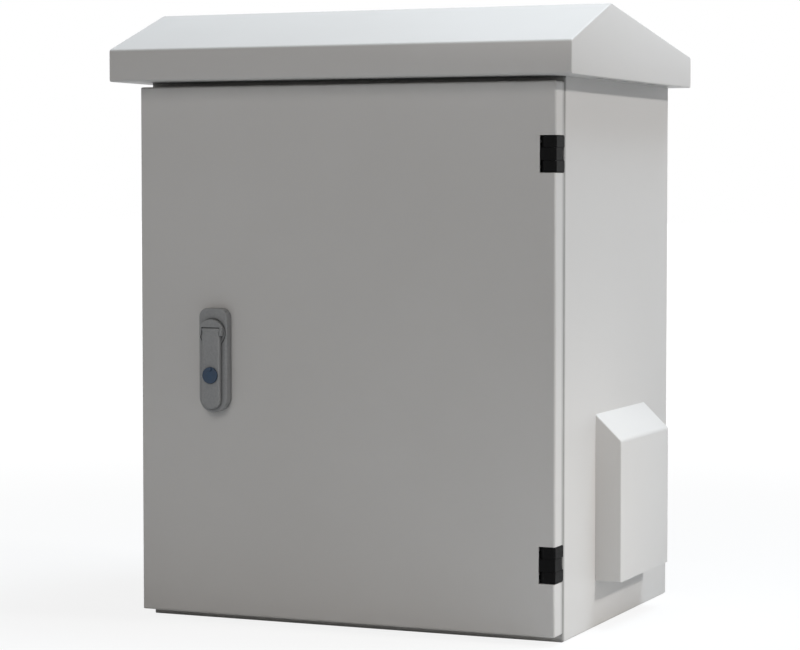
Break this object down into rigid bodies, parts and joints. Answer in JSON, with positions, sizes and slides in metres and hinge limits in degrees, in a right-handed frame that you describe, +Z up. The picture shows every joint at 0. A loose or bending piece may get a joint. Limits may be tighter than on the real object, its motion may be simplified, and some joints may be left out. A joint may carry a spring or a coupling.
{
  "type": "roadside utility cabinet",
  "caption": "Light grey sheet-steel outdoor cabinet with a swing-handle door on black block hinges, an overhanging rain canopy and a hooded fan intake on the right side.",
  "frame": {"origin": "middle of the box's flat underside, where it stands", "axes": "+X to the right and +Y to the back, seen from the door, +Z up"},
  "size_m": [0.556, 0.44, 0.6919],
  "materials": {
    "painted_sheet": "light grey powder coat, fine texture",
    "zinc_sheet": "galvanised sheet",
    "zinc_fastener": "zinc-plated steel",
    "black_casting": "satin black die casting",
    "lock_casting": "satin grey die casting",
    "seal_rubber": "matt black foam and rubber",
    "fan_plastic": "matt black glass-filled plastic",
    "filter_mat": "off-white fibre mat",
    "copper_bar": "bare copper",
    "brass_part": "plain brass",
    "insulator": "red moulded insulator",
    "blue_plastic": "dark blue moulded plastic"
  },
  "bodies": {
    "cabinet": {"body_wrap": "painted_sheet", "top_panel": "painted_sheet", "bottom_panel": "painted_sheet", "door_frame": "painted_sheet", "rain_canopy": "painted_sheet", "canopy_bolts": "zinc_fastener", "canopy_nuts": "zinc_fastener", "vent_hood": "painted_sheet", "hood_rivets": "zinc_fastener", "filter_frame": "fan_plastic", "filter_screws": "zinc_fastener", "vent_filter": "filter_mat", "fan_housing": "fan_plastic", "fan_guard": "zinc_fastener", "fan_screws": "zinc_fastener", "mounting_plate": "zinc_sheet", "plate_studs": "zinc_fastener", "plate_nuts": "zinc_fastener", "earth_bar": "copper_bar", "earth_posts": "insulator", "earth_screws": "brass_part", "gland_gasket": "seal_rubber", "gland_plate": "zinc_sheet", "gland_screws": "zinc_fastener", "cable_grommets": "seal_rubber", "upper_rail": "zinc_sheet", "lower_rail": "zinc_sheet", "hinge_body_leaves": "black_casting", "hinge_pins": "zinc_fastener", "hinge_body_screws": "zinc_fastener"},
    "door": {"hinge_door_leaves": "black_casting", "hinge_door_screws": "zinc_fastener", "door_panel": "painted_sheet", "door_seal": "seal_rubber", "door_ribs": "painted_sheet", "door_earth_stud": "zinc_fastener", "door_earth_nut": "brass_part", "lock_gasket": "seal_rubber", "lock_base": "lock_casting", "lock_nut": "zinc_fastener", "lock_screw": "zinc_fastener"},
    "handle_hub": {"lock_hub": "lock_casting", "latch_cam": "zinc_fastener", "latch_screw": "zinc_fastener", "handle_pin": "zinc_fastener"},
    "handle_lever": {"lock_lever": "lock_casting", "key_barrel": "zinc_fastener", "cover_rivet": "zinc_fastener"},
    "plug": {"key_plug": "brass_part"},
    "cover": {"key_cover": "blue_plastic"},
    "rotor": {"fan_rotor": "fan_plastic"}
  },
  "joints": [
    {"name": "door_swing", "type": "hinge", "parent": "cabinet", "child": "door", "pos_m": [0.243, -0.201, 0.30675], "axis": [0, 0, 1], "range_deg": [0, 120]},
    {"name": "handle_turn", "type": "hinge", "parent": "door", "child": "handle_hub", "pos_m": [-0.153, -0.226, 0.3285], "axis": [0, -1, 0], "range_deg": [0, 90]},
    {"name": "handle_lift", "type": "hinge", "parent": "handle_hub", "child": "handle_lever", "pos_m": [-0.153, -0.2296, 0.332], "axis": [-1, 0, 0], "range_deg": [0, 40]},
    {"name": "key_turn", "type": "hinge", "parent": "handle_lever", "child": "plug", "pos_m": [-0.153, -0.23, 0.281], "axis": [0, -1, 0], "range_deg": [0, 90]},
    {"name": "cover_swing", "type": "hinge", "parent": "handle_lever", "child": "cover", "pos_m": [-0.153, -0.2334, 0.2879], "axis": [0, -1, 0], "range_deg": [0, 150]},
    {"name": "fan_spin", "type": "hinge", "parent": "cabinet", "child": "rotor", "pos_m": [0.215, 0.008, 0.136], "axis": [1, 0, 0], "continuous": true}
  ]
}
